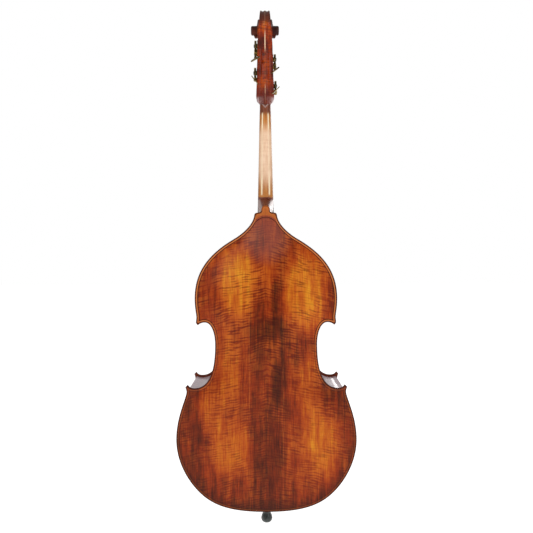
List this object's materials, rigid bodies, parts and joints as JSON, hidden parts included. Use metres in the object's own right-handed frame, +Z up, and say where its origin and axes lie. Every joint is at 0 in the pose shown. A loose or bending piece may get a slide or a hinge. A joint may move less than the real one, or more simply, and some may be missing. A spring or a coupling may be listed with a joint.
{
  "type": "double bass",
  "caption": "Carved double bass with violin corners, flamed back, ebony fingerboard, separate brass worm tuning machines, strings, bridge, tailpiece and sliding rubber-tipped endpin.",
  "frame": {"origin": "the point where the endpin's rubber tip stands on the floor, on the endpin's axis", "axes": "+Z up along the body, +Y towards the arched back, -Y towards the strings, +X to the treble side"},
  "size_m": [0.662, 0.4381, 1.9613],
  "materials": {
    "spruce_varnished": "glossy varnish over spruce",
    "maple_varnished": "glossy red-brown varnish over flamed maple",
    "maple_bare": "oiled pale maple",
    "raw_wood": "bare spruce",
    "bridge_maple": "bare maple",
    "ebony": "polished ebony",
    "brass": "aged brass",
    "string_steel": "wound steel",
    "steel": "plated steel",
    "rubber": "ribbed dark rubber"
  },
  "bodies": {
    "instrument": {"top_plate": "spruce_varnished", "back_plate": "maple_varnished", "rib_lower_bass": "maple_varnished", "rib_centre_bass": "maple_varnished", "rib_upper_bass": "maple_varnished", "corner_block_lower_bass": "raw_wood", "corner_block_upper_bass": "raw_wood", "rib_lower_treble": "maple_varnished", "rib_centre_treble": "maple_varnished", "rib_upper_treble": "maple_varnished", "corner_block_lower_treble": "raw_wood", "corner_block_upper_treble": "raw_wood", "neck_block": "raw_wood", "end_block": "raw_wood", "bass_bar": "raw_wood", "sound_post": "raw_wood", "neck": "maple_bare", "fingerboard": "ebony", "nut": "ebony", "bridge": "bridge_maple", "tailpiece": "ebony", "saddle": "ebony", "tail_wire": "steel", "scroll": "maple_varnished", "endpin_plug": "ebony", "endpin_ferrule": "steel", "machine_plate_e": "brass", "string_e": "string_steel", "machine_plate_g": "brass", "string_g": "string_steel", "machine_plate_a": "brass", "string_a": "string_steel", "machine_plate_d": "brass", "string_d": "string_steel"},
    "key_e": {"key_worm_e": "brass"},
    "roller_e": {"gear_e": "brass", "roller_e": "ebony", "gear_screw_e": "steel"},
    "key_g": {"key_worm_g": "brass"},
    "roller_g": {"gear_g": "brass", "roller_g": "ebony", "gear_screw_g": "steel"},
    "key_a": {"key_worm_a": "brass"},
    "roller_a": {"gear_a": "brass", "roller_a": "ebony", "gear_screw_a": "steel"},
    "key_d": {"key_worm_d": "brass"},
    "roller_d": {"gear_d": "brass", "roller_d": "ebony", "gear_screw_d": "steel"},
    "endpin": {"endpin_rod": "steel", "endpin_tip": "rubber"},
    "thumbscrew": {"endpin_thumbscrew": "steel"}
  },
  "joints": [
    {"name": "key_e_turn", "type": "hinge", "parent": "instrument", "child": "key_e", "pos_m": [-0.0402, -0.01456, 1.67582], "axis": [0, 0.9659, -0.2588], "continuous": true},
    {"name": "roller_e_turn", "type": "hinge", "parent": "instrument", "child": "roller_e", "pos_m": [-0.0316, -0.00861, 1.69804], "axis": [1, 0, 0], "continuous": true},
    {"name": "key_g_turn", "type": "hinge", "parent": "instrument", "child": "key_g", "pos_m": [0.0388, -0.00635, 1.7236], "axis": [0, 0.9135, -0.4067], "continuous": true},
    {"name": "roller_g_turn", "type": "hinge", "parent": "instrument", "child": "roller_g", "pos_m": [0.0302, 0.003, 1.74461], "axis": [1, 0, 0], "continuous": true},
    {"name": "key_a_turn", "type": "hinge", "parent": "instrument", "child": "key_a", "pos_m": [-0.0376, 0.00109, 1.77258], "axis": [0, 0.809, -0.5878], "continuous": true},
    {"name": "roller_a_turn", "type": "hinge", "parent": "instrument", "child": "roller_a", "pos_m": [-0.029, 0.01461, 1.79119], "axis": [1, 0, 0], "continuous": true},
    {"name": "key_d_turn", "type": "hinge", "parent": "instrument", "child": "key_d", "pos_m": [0.0364, 0.01025, 1.82122], "axis": [0, 0.7193, -0.6947], "continuous": true},
    {"name": "roller_d_turn", "type": "hinge", "parent": "instrument", "child": "roller_d", "pos_m": [0.0278, 0.02622, 1.83776], "axis": [1, 0, 0], "continuous": true},
    {"name": "endpin_slide", "type": "slide", "parent": "instrument", "child": "endpin", "axis": [0, 0, -1], "range_m": [0, 0.3]},
    {"name": "endpin_thumbscrew_turn", "type": "hinge", "parent": "instrument", "child": "thumbscrew", "pos_m": [0.0146, 0, 0.064], "axis": [1, 0, 0], "range_deg": [0, 540]}
  ],
  "couplings": [
    {"joint": "roller_e_turn", "follows": "key_e_turn", "ratio": 0.05},
    {"joint": "roller_g_turn", "follows": "key_g_turn", "ratio": -0.05},
    {"joint": "roller_a_turn", "follows": "key_a_turn", "ratio": 0.05},
    {"joint": "roller_d_turn", "follows": "key_d_turn", "ratio": -0.05}
  ]
}
